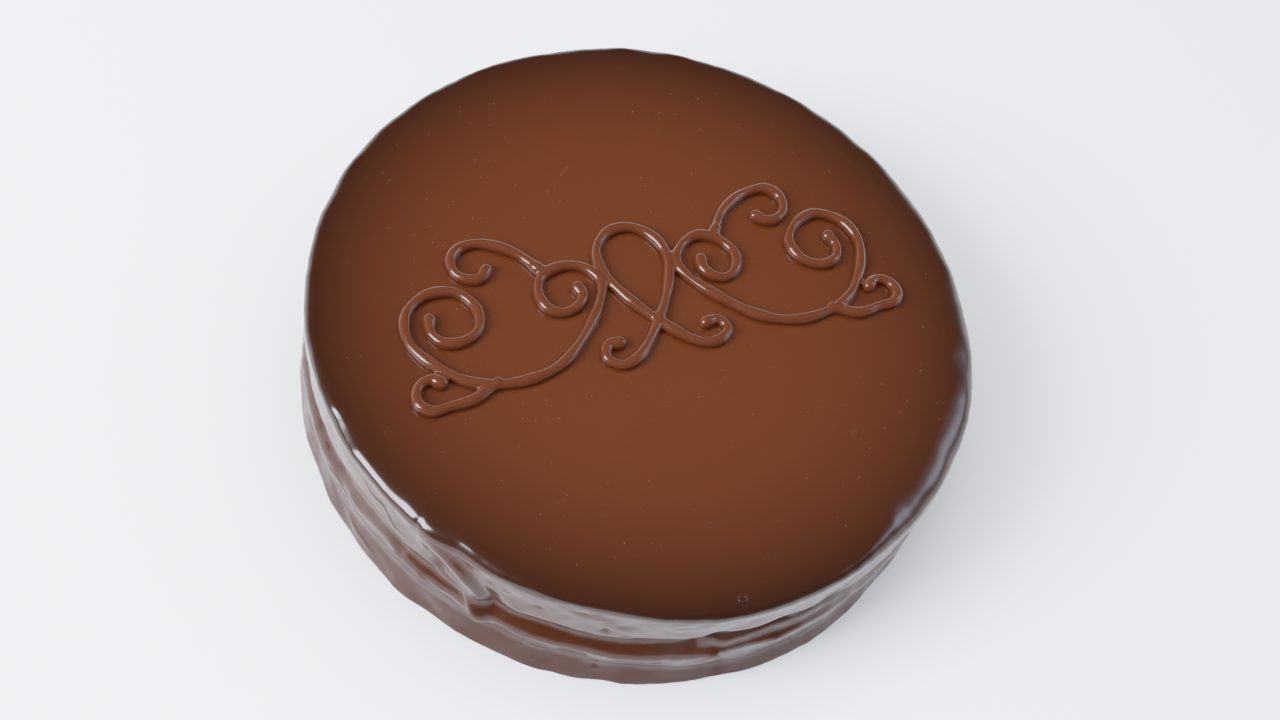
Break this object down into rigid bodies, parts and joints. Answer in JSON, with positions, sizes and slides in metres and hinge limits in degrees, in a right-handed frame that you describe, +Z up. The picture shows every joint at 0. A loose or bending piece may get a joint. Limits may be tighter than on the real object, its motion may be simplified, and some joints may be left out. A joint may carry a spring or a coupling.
{
  "type": "sachertorte cake",
  "caption": "Whole round cake under smooth dark chocolate glaze, with rippled sides and a piped chocolate scroll on top.",
  "frame": {"origin": "middle of the flat base that the cake stands on", "axes": "+Z up through the middle of the cake; +X along the piped scroll, left to right for its reader; -Y towards the reader"},
  "size_m": [0.2274, 0.2285, 0.0567],
  "materials": {
    "chocolate_glaze": "dark chocolate glaze poured warm and set to a satin gloss, with fine air bubbles"
  },
  "bodies": {
    "root": {"cake": "chocolate_glaze"}
  },
  "joints": []
}
